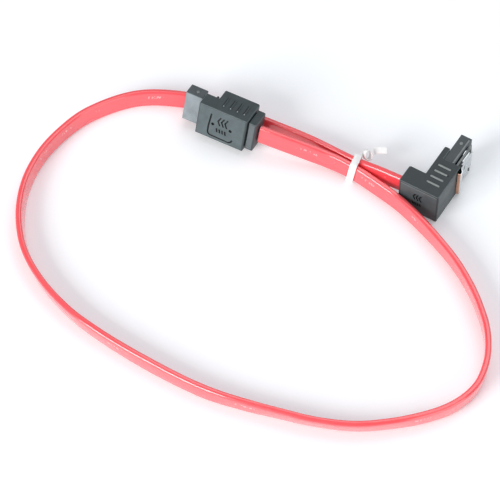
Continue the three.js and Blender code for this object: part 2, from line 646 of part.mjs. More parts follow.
// The latch is one bent strip: a short anchor in the slot behind the rail, a tab through the slit behind the
// rail's head, a long leg outside the rail, and a tail that swings out past the arm's shoulder and curls in.
function latchLine() {
  const slotMiddle = ANGLED_SHELL_SIDE + ANGLED_SHELL_THICKNESS + LATCH_SLOT / 2;
  const leg = ANGLED_SHELL_SIDE + LATCH_RAIL_OUTER + LATCH_CLEARANCE + LATCH_THICKNESS / 2;
  const tail = ANGLED_BASE_LENGTH + LATCH_TAIL_CLEARANCE + LATCH_THICKNESS / 2;
  const bulgeTop = ANGLED_ARM_BACK - LATCH_TAIL_DROP;
  const bulgeEnd = bulgeTop - LATCH_TAIL_FLAT;
  return [
    [slotMiddle, LATCH_TAB - LATCH_ANCHOR_LENGTH],
    [slotMiddle, LATCH_TAB - LATCH_BEND],
    [slotMiddle + LATCH_BEND, LATCH_TAB],
    [leg - LATCH_BEND, LATCH_TAB],
    [leg, LATCH_TAB - LATCH_BEND],
    [leg, ANGLED_ARM_BACK + LATCH_SWING_START],
    [leg + LATCH_THICKNESS, ANGLED_ARM_BACK + LATCH_SWING_MIDDLE],
    [tail, ANGLED_ARM_BACK + LATCH_SWING_END],
    [tail + LATCH_TAIL_BULGE, bulgeTop],
    [tail + LATCH_TAIL_BULGE, bulgeEnd],
    [tail, bulgeEnd - LATCH_TAIL_CURL],
  ];
}

// Cuts a small window in the leg, and narrows the strip where it passes through the slit.
function latchGeometry() {
  const strip = plate(sheetOutline(latchLine(), LATCH_THICKNESS), LATCH_WIDTH, 0);
  const inside = ANGLED_SHELL_SIDE + ANGLED_SHELL_THICKNESS;
  const railSide = ANGLED_SHELL_SIDE + LATCH_RAIL_OUTER;
  const outside = railSide + LATCH_CLEARANCE + LATCH_THICKNESS + CUT_MARGIN;
  const windowTop = LATCH_TAB - LATCH_WINDOW_DROP;
  const tools = [boxBetween(
    [railSide, windowTop - LATCH_WINDOW_LENGTH, -LATCH_WINDOW_WIDTH / 2],
    [outside, windowTop, LATCH_WINDOW_WIDTH / 2],
  )];
  const tabHalf = SHELL_WIDTH / 2 - SHELL_EDGE - LATCH_WEB - LATCH_CLEARANCE;
  const tabEdge = LATCH_WIDTH / 2 + CUT_MARGIN;
  const shoulder = LATCH_TAB - LATCH_THICKNESS / 2 - LATCH_CLEARANCE;
  for (const [low, high] of [[-tabEdge, -tabHalf], [tabHalf, tabEdge]]) {
    tools.push(boxBetween([inside, shoulder, low], [outside, LATCH_TAB + LATCH_THICKNESS, high]));
  }
  return cut(strip, tools);
}

function angledPlug() {
  const plug = new THREE.Group();
  const inner = new THREE.Group();
  inner.position.set(ANGLED_SHELL_SIDE, ANGLED_TIP, 0);
  inner.rotation.z = -Math.PI / 2;
  inner.add(named('angled_shell', angledShell(), SHELL_PLASTIC));
  addContacts(inner, 'angled', ANGLED_SHELL_LENGTH);
  inner.add(named('angled_inner_mould', innerMouldGeometry(ANGLED_SHELL_LENGTH + SEAT_GAP), NYLON));
  plug.add(inner);
  addWires(plug, 'angled', angledWirePath(), ANGLED_WIRE_STEPS);
  plug.add(named('angled_overmould', angledOvermould(), PLASTIC));
  plug.add(named('latch_spring', latchGeometry(), STEEL));
  return plug;
}

// Cable and tie

function cableSection() {
  const low = [-CABLE_THICKNESS / 2, -CABLE_WIDTH / 2];
  const high = [CABLE_THICKNESS / 2, CABLE_WIDTH / 2];
  return roundedPolygon(rectangle(low, high), CABLE_EDGE_RADIUS);
}

function cableJacket() {
  return named('cable_jacket', sweep(cableSection(), new LeaningCurve(ROUTE), CABLE_STEPS), JACKET);
}

function tieGeometry() {
  const innerY = (TIE_STRAND_SPACING + CABLE_THICKNESS) / 2 + TIE_CLEARANCE;
  const innerZ = CABLE_WIDTH / 2 + TIE_CLEARANCE;
  const outerY = innerY + TIE_THICKNESS;
  const outerZ = innerZ + TIE_THICKNESS;
  const ring = roundedPolygon(rectangle([-outerY, -outerZ], [outerY, outerZ]), TIE_CORNER);
  const innerCorner = TIE_CORNER - TIE_THICKNESS / 2;
  ring.holes.push(roundedPolygon(rectangle([-innerY, -innerZ], [innerY, innerZ]), innerCorner));
  const band = new THREE.ExtrudeGeometry(ring, { depth: TIE_WIDTH, bevelEnabled: false, curveSegments: 4 });
  band.translate(0, 0, -TIE_WIDTH / 2).rotateX(Math.PI / 2).rotateZ(Math.PI / 2);
  const fromEdge = ([along, out, up, turn]) => [along, outerY + out, outerZ + up, turn];
  const knot = new LeaningCurve(TIE_KNOT.map(fromEdge));
  const tail = new LeaningCurve(TIE_TAIL.map(fromEdge));
  return join([
    band,
    sweep(stripSection(TIE_KNOT_THICKNESS), knot, TIE_KNOT_STEPS),
    sweep(stripSection(TIE_THICKNESS), tail, TIE_TAIL_STEPS),
  ]);
}

function stripSection(thickness) {
  return polygon(rectangle([-thickness / 2, -TIE_WIDTH / 2], [thickness / 2, TIE_WIDTH / 2]));
}

function twistTie() {
  const tie = named('twist_tie', tieGeometry(), TIE_PAPER);
  tie.position.set(...TIE_PLACE);
  const turns = [-TIE_TURN.lean, TIE_TURN.pitch, TIE_TURN.heading].map((value) => THREE.MathUtils.degToRad(value));
  tie.rotation.set(...turns, 'ZYX');
  return tie;
}

// Sets a plug down so that its lowest point touches the surface.
function setDown(plug, [x, y], { roll = 0, pitch = 0, heading = 0 }) {
  const turns = [roll, pitch, heading].map((value) => THREE.MathUtils.degToRad(value));
  plug.position.set(x, y, 0);
  plug.rotation.set(...turns, 'ZYX');
  plug.position.z -= new THREE.Box3().setFromObject(plug, true).min.z;
  return plug;
}

const cable = new THREE.Group();
cable.add(setDown(straightPlug(), STRAIGHT_PLACE, STRAIGHT_TURN));
cable.add(setDown(angledPlug(), ANGLED_PLACE, { heading: ANGLED_HEADING }));
cable.add(cableJacket());
cable.add(twistTie());

export default cable;
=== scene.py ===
import json
import math

import bmesh
import bpy
from bpy.props import FloatProperty, FloatVectorProperty, PointerProperty
from mathutils import Matrix, Vector


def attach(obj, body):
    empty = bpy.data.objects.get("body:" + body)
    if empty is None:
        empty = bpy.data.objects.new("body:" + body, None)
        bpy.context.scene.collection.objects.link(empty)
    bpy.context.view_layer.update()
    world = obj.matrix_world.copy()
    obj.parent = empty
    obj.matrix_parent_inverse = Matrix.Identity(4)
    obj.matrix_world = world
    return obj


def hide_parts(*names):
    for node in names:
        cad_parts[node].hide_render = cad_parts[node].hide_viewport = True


bl_info = {
    "name": "Flat data cable",
    "version": (1, 0, 0),
    "blender": (4, 5, 0),
    "location": "3D View > Sidebar > Data Cable",
    "description": "Builds a flat data cable with a straight plug, a right-angle plug and a twist tie",
    "category": "Object",
}

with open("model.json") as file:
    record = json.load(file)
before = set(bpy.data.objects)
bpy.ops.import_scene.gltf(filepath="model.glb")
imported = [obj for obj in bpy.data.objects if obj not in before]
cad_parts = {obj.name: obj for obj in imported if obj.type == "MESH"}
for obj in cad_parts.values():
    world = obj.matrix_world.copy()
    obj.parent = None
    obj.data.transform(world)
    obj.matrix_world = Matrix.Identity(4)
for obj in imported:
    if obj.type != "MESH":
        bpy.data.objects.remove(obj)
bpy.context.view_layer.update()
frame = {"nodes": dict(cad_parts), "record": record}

MM = 0.001

# Places of the two plugs. In a plug's own space x runs along it and z across its width, in millimetres.
STRAIGHT_PLACE = (
    Matrix.Translation((-0.05629, 0.02177, 0.010899))
    @ Matrix.Rotation(math.radians(-26), 4, "Z")
    @ Matrix.Rotation(math.radians(3), 4, "Y")
    @ Matrix.Rotation(math.radians(-12.5), 4, "X")
    @ Matrix.Scale(MM, 4)
)
ANGLED_PLACE = (
    Matrix.Translation((0.02726, -0.01852, 0.00776))
    @ Matrix.Rotation(math.radians(-31.8), 4, "Z")
    @ Matrix.Scale(MM, 4)
)
TIE_PLACE = (
    Matrix.Translation((0.01055, -0.0051, 0.00535))
    @ Matrix.Rotation(math.radians(-22), 4, "Z")
    @ Matrix.Rotation(math.radians(7), 4, "Y")
    @ Matrix.Rotation(math.radians(-5), 4, "X")
    @ Matrix.Scale(MM, 4)
)

# The cable's route: x, y and height in metres, and the lean of the upright section in degrees.
ROUTE = [
    (-0.0264, 0.00895, 0.0088, 12), (-0.0200, 0.0063, 0.0083, 12.5), (-0.0087, 0.0021, 0.0069, 12),
    (0.0008, -0.0016, 0.0056, 8), (0.0087, -0.0059, 0.00505, 5), (0.0178, -0.0127, 0.0044, 6),
    (0.0298, -0.0239, 0.00405, 4.5), (0.0458, -0.0460, 0.00405, -1.5), (0.0522, -0.0587, 0.00405, -3),
    (0.0562, -0.0707, 0.00405, -2.5), (0.0583, -0.0832, 0.00405, -1), (0.0571, -0.0955, 0.00405, 1.5),
    (0.0524, -0.1062, 0.00405, 4), (0.0438, -0.1137, 0.00405, 7), (0.0335, -0.1180, 0.0041, 10),
    (0.0200, -0.1209, 0.0041, 14), (0.0076, -0.1218, 0.0041, 16.5), (-0.0062, -0.1200, 0.0041, 17),
    (-0.0202, -0.1162, 0.0041, 14), (-0.0339, -0.1121, 0.0041, 9), (-0.0477, -0.1067, 0.00405, 4.5),
    (-0.0674, -0.0954, 0.00405, 3.5), (-0.0868, -0.0818, 0.00405, 7), (-0.0982, -0.0719, 0.0041, 9.5),
    (-0.1091, -0.0583, 0.0041, 10.5), (-0.1160, -0.0445, 0.0041, 10), (-0.1189, -0.0291, 0.0041, 8),
    (-0.1178, -0.0135, 0.00405, 5.5), (-0.1127, 0.0008, 0.00405, 3.5), (-0.1045, 0.0128, 0.00405, 3),
    (-0.0944, 0.0222, 0.00405, 4.5), (-0.0752, 0.0305, 0.00405, 6), (-0.0552, 0.02965, 0.00405, 8),
    (-0.0385, 0.02425, 0.00405, 7), (-0.0222, 0.0161, 0.0041, 5), (-0.0062, 0.0076, 0.0043, 5),
    (0.0103, -0.0032, 0.00505, 5), (0.0203, -0.0094, 0.0068, 2), (0.0290, -0.01475, 0.00776, 0),
]


# Settings

def length_setting(name, description, default):
    return FloatProperty(name=name, description=description, default=default, unit="LENGTH", precision=5)


def colour_setting(name, description, default):
    return FloatVectorProperty(
        name=name, description=description, default=default, subtype="COLOR", size=3, min=0, max=1
    )


class SheathSettings(bpy.types.PropertyGroup):
    width: length_setting("Width", "Width of the flat cable", 0.008)
    thickness: length_setting("Thickness", "Thickness of the flat cable", 0.0025)
    corner: length_setting("Edge radius", "Radius of the cable's long edges", 0.001)
    colour: colour_setting("Colour", "Colour of the sheath", (0.98, 0.076, 0.090))


class PlugSettings(bpy.types.PropertyGroup):
    rim: length_setting("Rim radius", "Radius of the overmoulds' rims", 0.00045)
    rib_height: length_setting("Rib height", "How far the grip ribs stand out", 0.0003)
    groove_depth: length_setting("Groove depth", "Depth of the line round the panel", 0.00035)
    plastic: colour_setting("Plastic", "Colour of the overmoulds", (0.043, 0.058, 0.062))
    shell: colour_setting("Housing", "Colour of the housings", (0.045, 0.056, 0.060))
    shell_face: colour_setting("Exposed housing", "Colour of the straight plug's housing", (0.11, 0.13, 0.14))
    # The pale grey of the painted highlights on the ribs and rib ends, and the base of the rail's colour.
    painted_highlight: colour_setting("Painted highlight", "Colour of the painted highlights on the ribs, and of the rail", (0.24, 0.26, 0.26))


class LatchSettings(bpy.types.PropertyGroup):
    thickness: length_setting("Thickness", "Thickness of the spring strip", 0.00025)
    colour: colour_setting("Colour", "Colour of the spring steel", (0.66, 0.69, 0.70))
    lip: colour_setting("Lip", "Colour of the steel's turned-in lip", (0.60, 0.34, 0.24))


class TieSettings(bpy.types.PropertyGroup):
    width: length_setting("Width", "Width of the tie's strip", 0.0028)
    thickness: length_setting("Thickness", "Thickness of the tie's strip", 0.0004)
    colour: colour_setting("Colour", "Colour of the tie's coating", (0.96, 0.96, 0.95))


class StageSettings(bpy.types.PropertyGroup):
    floor: colour_setting("Floor", "Colour of the floor", (0.93, 0.95, 0.97))
    lift: FloatProperty(
        name="Floor lift", description="Extra light of the floor, as seen and as reflected",
        default=0.12, min=0, max=1,
    )


# Shapes

def mesh_vertices(parts):
    return [part for part in parts if isinstance(part, bmesh.types.BMVert)]


def round_edges(bm, edges, radius, segments, material=-1):
    """Rounds some edges of a shape."""
    bmesh.ops.bevel(
        bm, geom=edges, offset=radius, offset_type="OFFSET", affect="EDGES",
        segments=segments, profile=0.5, material=material, clamp_overlap=True,
    )


def plate(points, width, corners, rim, rim_material=-1):
    """A flat block with the outline of the points, centred on z, with rounded corners and rims."""
    bm = bmesh.new()
    face = bm.faces.new([bm.verts.new((x, y, -width / 2)) for x, y in points])
    raised = bmesh.ops.extrude_face_region(bm, geom=[face])
    bmesh.ops.translate(bm, vec=(0, 0, width), verts=mesh_vertices(raised["geom"]))
    bmesh.ops.recalc_face_normals(bm, faces=bm.faces)
    if not isinstance(corners, (list, tuple)):
        corners = [corners] * len(points)
    for (x, y), radius in zip(points, corners):
        upright = [
            e for e in bm.edges
            if abs(e.verts[0].co.z - e.verts[1].co.z) > width / 2
            and abs(e.verts[0].co.x - x) < 1e-4 and abs(e.verts[0].co.y - y) < 1e-4
        ]
        if radius > 0:
            round_edges(bm, upright, radius, 5)
    if rim > 0:
        rims = [
            e for e in bm.edges
            if all(abs(abs(v.co.z) - width / 2) < 1e-4 for v in e.verts)
            and abs(e.verts[0].co.z - e.verts[1].co.z) < 1e-4
        ]
        round_edges(bm, rims, rim, 3, rim_material)
    return bm


def block(low, high, rim=0.0):
    """A box between two corners."""
    bm = bmesh.new()
    bmesh.ops.create_cube(bm, size=1)
    middle = [(a + b) / 2 for a, b in zip(low, high)]
    size = [b - a for a, b in zip(low, high)]
    bmesh.ops.scale(bm, vec=size, verts=bm.verts)
    bmesh.ops.translate(bm, vec=middle, verts=bm.verts)
    if rim > 0:
        round_edges(bm, list(bm.edges), rim, 3)
    return bm


def rib(length, width, height, middle, along_x):
    """A low bar with round ends that stands on a face, half sunk into it."""
    half = width / 2
    points = [
        (-length / 2, -half), (length / 2, -half), (length / 2, half), (-length / 2, half),
    ]
    bm = plate(points, height * 2, half * 0.96, height * 0.5)
    if not along_x:
        bmesh.ops.rotate(bm, cent=(0, 0, 0), matrix=Matrix.Rotation(math.pi / 2, 3, "Z"), verts=bm.verts)
    bmesh.ops.translate(bm, vec=middle, verts=bm.verts)
    return bm


def peg(radius, height, middle, axis="Z", sides=20):
    """A short round peg."""
    bm = bmesh.new()
    bmesh.ops.create_cone(
        bm, cap_ends=True, segments=sides, radius1=radius, radius2=radius, depth=height,
    )
    if axis == "Y":
        bmesh.ops.rotate(bm, cent=(0, 0, 0), matrix=Matrix.Rotation(math.pi / 2, 3, "X"), verts=bm.verts)
    bmesh.ops.translate(bm, vec=middle, verts=bm.verts)
    return bm


def bent_sheet(line, width, thickness):
    """A sheet of even thickness, bent along a line of x-y points and centred on z."""
    bm = bmesh.new()
    low = [bm.verts.new((x, y, -width / 2)) for x, y in line]
    edges = [bm.edges.new(pair) for pair in zip(low, low[1:])]
    raised = bmesh.ops.extrude_edge_only(bm, edges=edges)
    bmesh.ops.translate(bm, vec=(0, 0, width), verts=mesh_vertices(raised["geom"]))
    bmesh.ops.solidify(bm, geom=bm.faces[:], thickness=thickness)
    bmesh.ops.recalc_face_normals(bm, faces=bm.faces)
    return bm


def merge_shapes(shapes):
    """One shape that holds all the given ones, side by side."""
    whole = bmesh.new()
    for shape in shapes:
        mesh = bpy.data.meshes.new("part")
        shape.to_mesh(mesh)
        shape.free()
        whole.from_mesh(mesh)
        bpy.data.meshes.remove(mesh)
    return whole


def smooth_line(points, step):
    """Points along a smooth curve through the given ones, which may hold any numbers after x, y and z."""
    spatial = [Vector(p[:3]) for p in points]
    line = []
    for i in range(len(points) - 1):
        ends = spatial[i], spatial[i + 1]
        before = spatial[i - 1] if i else ends[0] * 2 - ends[1]
        after = spatial[i + 2] if i + 2 < len(points) else ends[1] * 2 - ends[0]
        gap = (ends[1] - ends[0]).length ** 0.5
        gap_in = (ends[0] - before).length ** 0.5
        gap_out = (after - ends[1]).length ** 0.5
        leave = (
            (ends[0] - before) / gap_in - (ends[1] - before) / (gap_in + gap) + (ends[1] - ends[0]) / gap
        ) * gap
        reach = (
            (ends[1] - ends[0]) / gap - (after - ends[0]) / (gap + gap_out) + (after - ends[1]) / gap_out
        ) * gap
        count = max(1, round((ends[1] - ends[0]).length / step))
        for k in range(count if i + 2 < len(points) else count + 1):
            t = k / count
            place = (
                ends[0] * (2 * t ** 3 - 3 * t ** 2 + 1) + leave * (t ** 3 - 2 * t ** 2 + t)
                + ends[1] * (3 * t ** 2 - 2 * t ** 3) + reach * (t ** 3 - t ** 2)
            )
            ease = t * t * (3 - 2 * t)
            extra = [a + (b - a) * ease for a, b in zip(points[i][3:], points[i + 1][3:])]
            line.append((place, *extra))
    return line


def stations(line):
    """Frames along a line of (place, lean): x along it, y to its left, z up, turned by the lean."""
    frames = []
    for i, (place, lean) in enumerate(line):
        ahead = line[min(i + 1, len(line) - 1)][0] - line[max(i - 1, 0)][0]
        ahead.normalize()
        left = Vector((0, 0, 1)).cross(ahead).normalized()
        left.rotate(Matrix.Rotation(math.radians(-lean), 3, ahead))
        up = ahead.cross(left)
        turn = Matrix((ahead, left, up)).transposed().to_4x4()
        frames.append(Matrix.Translation(place) @ turn)
    return frames


def sweep(section, frames, layer_name=None, closed=False):
    """Carries a closed section of (y, z) points along the frames and caps its ends."""
    bm = bmesh.new()
    layer = bm.verts.layers.float_vector.new(layer_name) if layer_name else None
    ring = [bm.verts.new(frames[0] @ Vector((0, y, z))) for y, z in section]
    first = edges = [bm.edges.new((a, b)) for a, b in zip(ring, ring[1:] + ring[:1])]
    if not closed:
        bm.faces.new(ring)
    along = 0.0
    for vert, (y, z) in zip(ring, section):
        if layer:
            vert[layer] = (0, y, z)
    for before, after in zip(frames, frames[1:]):
        along += (after.translation - before.translation).length
        grown = bmesh.ops.extrude_edge_only(bm, edges=edges)["geom"]
        moved = mesh_vertices(grown)
        bmesh.ops.transform(bm, matrix=after @ before.inverted(), verts=moved)
        edges = [
            e for e in grown if isinstance(e, bmesh.types.BMEdge)
            and e.verts[0] in moved and e.verts[1] in moved
        ]
        if layer:
            back = after.inverted()
            for vert in moved:
                place = back @ vert.co
                vert[layer] = (along, place.y, place.z)
    if closed:
        bmesh.ops.bridge_loops(bm, edges=first + edges)
    else:
        bmesh.ops.contextual_create(bm, geom=edges)
    bmesh.ops.recalc_face_normals(bm, faces=bm.faces)
    return bm


def rounded_section(width, height, radius, segments):
    """Points round a rectangle with rounded corners."""
    points = []
    for quarter, (sx, sy) in enumerate([(1, -1), (1, 1), (-1, 1), (-1, -1)]):
        centre = Vector((sx * (width / 2 - radius), sy * (height / 2 - radius)))
        for k in range(segments + 1):
            angle = math.radians(90 * (quarter - 1) + 90 * k / segments)
            points.append(centre + Vector((math.cos(angle), math.sin(angle))) * radius)
    return points


# Pieces

def place_piece(bm, name, place, materials, smooth_angle=38, weighted=True):
    """Makes an object of a shape and puts it in its place."""
    bmesh.ops.transform(bm, matrix=place, verts=bm.verts)
    mesh = bpy.data.meshes.new(name)
    bm.to_mesh(mesh)
    bm.free()
    for material in materials:
        mesh.materials.append(material)
    piece = bpy.data.objects.new(name, mesh)
    bpy.context.scene.collection.objects.link(piece)
    shade_piece(piece, smooth_angle, weighted)
    return piece


def shade_piece(piece, smooth_angle, weighted):
    piece.data.shade_smooth()
    piece.data.set_sharp_from_angle(angle=math.radians(smooth_angle))
    if weighted and not piece.modifiers:
        normals = piece.modifiers.new("Even shading", "WEIGHTED_NORMAL")
        normals.keep_sharp = True
        normals.weight = 50


def combine(piece, tools, smooth_angle=38):
    """Joins other objects to a piece, or cuts them out of it."""
    piece.modifiers.clear()
    for tool, operation in tools:
        step = piece.modifiers.new("Shape", "BOOLEAN")
        step.operation = operation
        step.object = tool
        step.solver = "EXACT"
        step.use_self = True
        step.material_mode = "TRANSFER"
    graph = bpy.context.evaluated_depsgraph_get()
    mesh = bpy.data.meshes.new_from_object(piece.evaluated_get(graph))
    piece.modifiers.clear()
    old = piece.data
    piece.data = mesh
    mesh.name = old.name
    bpy.data.meshes.remove(old)
    for tool, _ in tools:
        data = tool.data
        bpy.data.objects.remove(tool)
        bpy.data.meshes.remove(data)
    bm = bmesh.new()
    bm.from_mesh(mesh)
    bmesh.ops.remove_doubles(bm, verts=bm.verts, dist=2e-7)
    bmesh.ops.dissolve_degenerate(bm, dist=1e-7, edges=bm.edges)
    bm.to_mesh(mesh)
    bm.free()
    shade_piece(piece, smooth_angle, True)


# Materials

class Nodes:
    """A material's nodes, and short ways to add to them."""

    def __init__(self, name):
        self.material = bpy.data.materials.get(name) or bpy.data.materials.new(name)
        self.material.use_nodes = True
        self.tree = self.material.node_tree
        self.tree.nodes.clear()
        self.surface = self.add("ShaderNodeBsdfPrincipled")
        output = self.add("ShaderNodeOutputMaterial")
        self.link(self.surface.outputs["BSDF"], output.inputs["Surface"])

    def add(self, kind, **settings):
        node = self.tree.nodes.new(kind)
        for key, value in settings.items():
            setattr(node, key, value)
        return node

    def link(self, source, target):
        self.tree.links.new(source, target)

    def place(self):
        return self.add("ShaderNodeTexCoord").outputs["Object"]

    def stretched(self, source, scale):
        mapping = self.add("ShaderNodeMapping")
        mapping.inputs["Scale"].default_value = scale
        self.link(source, mapping.inputs["Vector"])
        return mapping.outputs["Vector"]

    def noise(self, source, scale, detail=2.0, roughness=0.5):
        node = self.add("ShaderNodeTexNoise")
        node.inputs["Scale"].default_value = scale
        node.inputs["Detail"].default_value = detail
        node.inputs["Roughness"].default_value = roughness
        self.link(source, node.inputs["Vector"])
        return node.outputs["Fac"]

    def spread(self, source, low, high, from_low=0.3, from_high=0.7):
        node = self.add("ShaderNodeMapRange")
        values = (from_low, from_high, low, high)
        for key, value in zip(("From Min", "From Max", "To Min", "To Max"), values):
            node.inputs[key].default_value = value
        self.link(source, node.inputs["Value"])
        return node.outputs["Result"]

    def blend(self, factor, first, second):
        node = self.add("ShaderNodeMix", data_type="RGBA")
        self.link(factor, node.inputs["Factor"])
        for socket, value in ((node.inputs[6], first), (node.inputs[7], second)):
            if isinstance(value, bpy.types.NodeSocket):
                self.link(value, socket)
            else:
                socket.default_value = (*value, 1)
        return node.outputs[2]

    def maths(self, operation, first, second):
        node = self.add("ShaderNodeMath", operation=operation)
        for socket, value in zip(node.inputs, (first, second)):
            if isinstance(value, bpy.types.NodeSocket):
                self.link(value, socket)
            else:
                socket.default_value = value
        return node.outputs["Value"]

    def relief(self, height, strength, distance):
        node = self.add("ShaderNodeBump")
        node.inputs["Strength"].default_value = strength
        node.inputs["Distance"].default_value = distance
        self.link(height, node.inputs["Height"])
        self.link(node.outputs["Normal"], self.surface.inputs["Normal"])

    def set(self, **values):
        for key, value in values.items():
            socket = self.surface.inputs[key.replace("_", " ")]
            if isinstance(value, bpy.types.NodeSocket):
                self.link(value, socket)
            else:
                socket.default_value = value


def shade(colour, factor):
    return [min(1.0, max(0.0, c * factor)) for c in colour]


def moulded_plastic(name, colour, low, high, grain=0.22):
    """Matt moulded plastic with a fine spark-eroded texture and slight cloudiness."""
    n = Nodes(name)
    place = n.place()
    cloud = n.noise(place, 260, 3)
    specks = n.noise(place, 2600, 2, 0.6)
    tone = n.blend(n.spread(cloud, 0, 1), shade(colour, 0.86), shade(colour, 1.14))
    dusty = n.blend(n.spread(specks, 0, 0.35, 0.62, 0.78), tone, shade(colour, 2.4))
    n.set(Base_Color=dusty, Roughness=n.spread(cloud, low, high), IOR=1.5)
    n.relief(specks, grain, 0.00012)
    return n.material


def pale_highlight_plastic(name, colour):
    """Paler, smoother plastic with a mottled tone: a painted highlight on rims, ribs and rib ends, and the
    rail's pale plastic.
    """
    n = Nodes(name)
    place = n.place()
    mottle = n.noise(place, 700, 4, 0.65)
    tone = n.blend(n.spread(mottle, 0, 1), shade(colour, 0.72), shade(colour, 1.18))
    n.set(Base_Color=tone, Roughness=n.spread(mottle, 0.34, 0.5), IOR=1.5)
    n.relief(n.noise(place, 2600, 2), 0.12, 0.0001)
    return n.material


def sheath_plastic(name, colour):
    """Soft glossy sheath with drawn streaks along it, a painted sheen that makes its wide faces paler than
    its edges, and faint pale marks on its faces.
    """
    n = Nodes(name)
    along = n.add("ShaderNodeAttribute", attribute_name="sheath").outputs["Vector"]
    streaks = n.noise(n.stretched(along, (60, 2600, 2600)), 1.0, 3)
    clouds = n.noise(n.stretched(along, (55, 120, 120)), 1.0, 2)
    tone = n.blend(n.spread(clouds, 0, 1), shade(colour, 0.94), shade(colour, 1.06))
    tone = n.blend(n.spread(streaks, 0, 0.5), tone, (colour[0], colour[1] * 1.5, colour[2] * 1.5))
    split = n.add("ShaderNodeSeparateXYZ")
    n.link(along, split.inputs["Vector"])
    side = n.maths("ABSOLUTE", split.outputs["Y"], 0)
    # Painted reflection: the wide faces are tinted paler than the edges, for the pale floor that they
    # reflect.
    painted_face_sheen = (colour[0], colour[1] * 1.05, colour[2] * 1.15)
    tone = n.blend(n.spread(side, 0, 0.6, 0.0009, 0.00122), tone, painted_face_sheen)
    ticks = n.noise(n.stretched(along, (1500, 300, 700)), 1.0, 1)
    groups = n.noise(n.stretched(along, (75, 0, 0)), 1.0, 0)
    band = n.maths("COMPARE", split.outputs["Z"], 0.0012)
    band.node.inputs[2].default_value = 0.0006
    mark = n.maths("MULTIPLY", n.spread(ticks, 0, 1, 0.52, 0.60), n.spread(groups, 0, 1, 0.56, 0.60))
    mark = n.maths("MULTIPLY", mark, band)
    tone = n.blend(n.maths("MULTIPLY", mark, 0.45), tone, (0.95, 0.62, 0.64))
    n.set(Base_Color=tone, Roughness=n.spread(clouds, 0.2, 0.28), IOR=1.5)
    n.set(Coat_Weight=1.0, Coat_Roughness=0.06, Coat_IOR=1.65)
    n.set(Subsurface_Weight=0.12, Subsurface_Radius=(0.0012, 0.0004, 0.0004), Subsurface_Scale=1.0)
    n.relief(streaks, 0.08, 0.0001)
    return n.material


def spring_steel(name, colour):
    """Bright rolled steel with fine lines across the strip."""
    n = Nodes(name)
    place = n.place()
    lines = n.noise(n.stretched(place, (4200, 4200, 260)), 1.0, 2)
    smudge = n.noise(place, 420, 3)
    tone = n.blend(n.spread(smudge, 0, 1), shade(colour, 0.86), shade(colour, 1.06))
    n.set(Base_Color=tone, Metallic=1.0, Roughness=n.spread(lines, 0.16, 0.34))
    n.relief(lines, 0.12, 0.00005)
    return n.material


def plated_metal(name, colour, low, high):
    """Thin plated metal with slight tarnish."""
    n = Nodes(name)
    place = n.place()
    tarnish = n.noise(place, 900, 3)
    tone = n.blend(n.spread(tarnish, 0, 1), shade(colour, 0.78), shade(colour, 1.08))
    n.set(Base_Color=tone, Metallic=1.0, Roughness=n.spread(tarnish, low, high))
    n.relief(n.noise(place, 3000, 2), 0.08, 0.00004)
    return n.material


def coated_strip(name, colour):
    """The tie's coated strip, with faint creases across it."""
    n = Nodes(name)
    place = n.place()
    creases = n.noise(place, 900, 4, 0.6)
    tone = n.blend(n.spread(creases, 0, 1), shade(colour, 0.93), shade(colour, 1.05))
    n.set(Base_Color=tone, Roughness=n.spread(creases, 0.4, 0.6), IOR=1.48)
    n.set(Subsurface_Weight=0.2, Subsurface_Radius=(0.0008, 0.0008, 0.0008), Subsurface_Scale=1.0)
    n.relief(creases, 0.25, 0.0001)
    return n.material


def plain_plastic(name, colour):
    """Smooth natural plastic, as on inner mouldings and wire insulation."""
    n = Nodes(name)
    place = n.place()
    haze = n.noise(place, 500, 2)
    n.set(
        Base_Color=n.blend(n.spread(haze, 0, 1), shade(colour, 0.9), shade(colour, 1.05)),
        Roughness=n.spread(haze, 0.42, 0.58), IOR=1.5,
    )
    n.relief(haze, 0.1, 0.00005)
    return n.material


